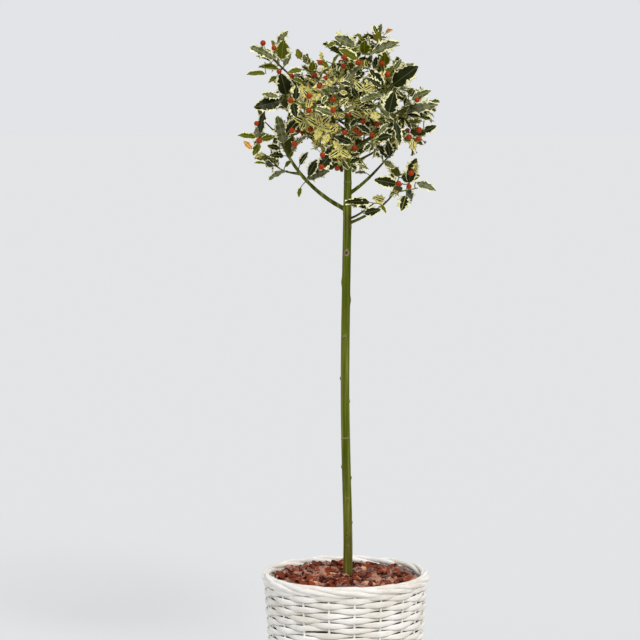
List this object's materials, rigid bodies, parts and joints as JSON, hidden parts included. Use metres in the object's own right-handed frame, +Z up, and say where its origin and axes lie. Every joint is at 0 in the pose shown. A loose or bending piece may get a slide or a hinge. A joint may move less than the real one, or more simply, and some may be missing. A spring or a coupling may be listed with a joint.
{
  "type": "standard variegated holly in a wicker basket",
  "caption": "Half-standard variegated holly with red berries: a bare stem and an open rounded crown of spiny leaves, planted in a round white-painted wicker basket under bark mulch.",
  "frame": {"origin": "centre of the basket's flat underside, on the floor", "axes": "+Z up the trunk; the side of the crown with the two open lower boughs faces -Y, and +X is on the right seen from there"},
  "size_m": [0.355, 0.2988, 1.2672],
  "materials": {
    "painted_willow": "woven willow under white paint, matt",
    "potting_soil": "moist peat-like potting soil",
    "bark_chips": "dry reddish bark chips, rough",
    "holly_bark": "smooth green young bark",
    "holly_leaves": "glossy evergreen leaves with pale margins"
  },
  "bodies": {
    "root": {"basket_base": "painted_willow", "basket_wall": "painted_willow", "basket_border": "painted_willow", "root_ball": "potting_soil", "bark_mulch": "bark_chips", "trunk": "holly_bark", "bough_left": "holly_bark", "bough_right": "holly_bark", "bough_low_right": "holly_bark", "bough_left_mid": "holly_bark", "bough_upper_left": "holly_bark", "bough_upper_right": "holly_bark", "bough_right_mid": "holly_bark", "bough_back_left": "holly_bark", "bough_back_right": "holly_bark", "bough_back": "holly_bark", "spur_left_outer": "holly_bark", "spur_left_inner": "holly_bark", "foliage_top_left": "holly_leaves", "foliage_top_mid_left": "holly_leaves", "foliage_leader": "holly_leaves", "foliage_top_right": "holly_leaves", "foliage_right_upper": "holly_leaves", "foliage_right": "holly_leaves", "foliage_right_lower": "holly_leaves", "foliage_right_under": "holly_leaves", "foliage_low_right": "holly_leaves", "foliage_low_inner": "holly_leaves", "foliage_left_mid": "holly_leaves", "foliage_left_lower": "holly_leaves", "foliage_left_under": "holly_leaves", "foliage_left_inner": "holly_leaves", "foliage_front_left": "holly_leaves", "foliage_front_right": "holly_leaves", "foliage_front_low": "holly_leaves", "foliage_front_low_right": "holly_leaves", "foliage_front_low_left": "holly_leaves", "foliage_front_top": "holly_leaves", "foliage_back_top": "holly_leaves", "foliage_back_left_upper": "holly_leaves", "foliage_back_right_upper": "holly_leaves", "foliage_back_left": "holly_leaves", "foliage_back_right": "holly_leaves", "foliage_back": "holly_leaves", "foliage_back_low": "holly_leaves"}
  },
  "joints": []
}
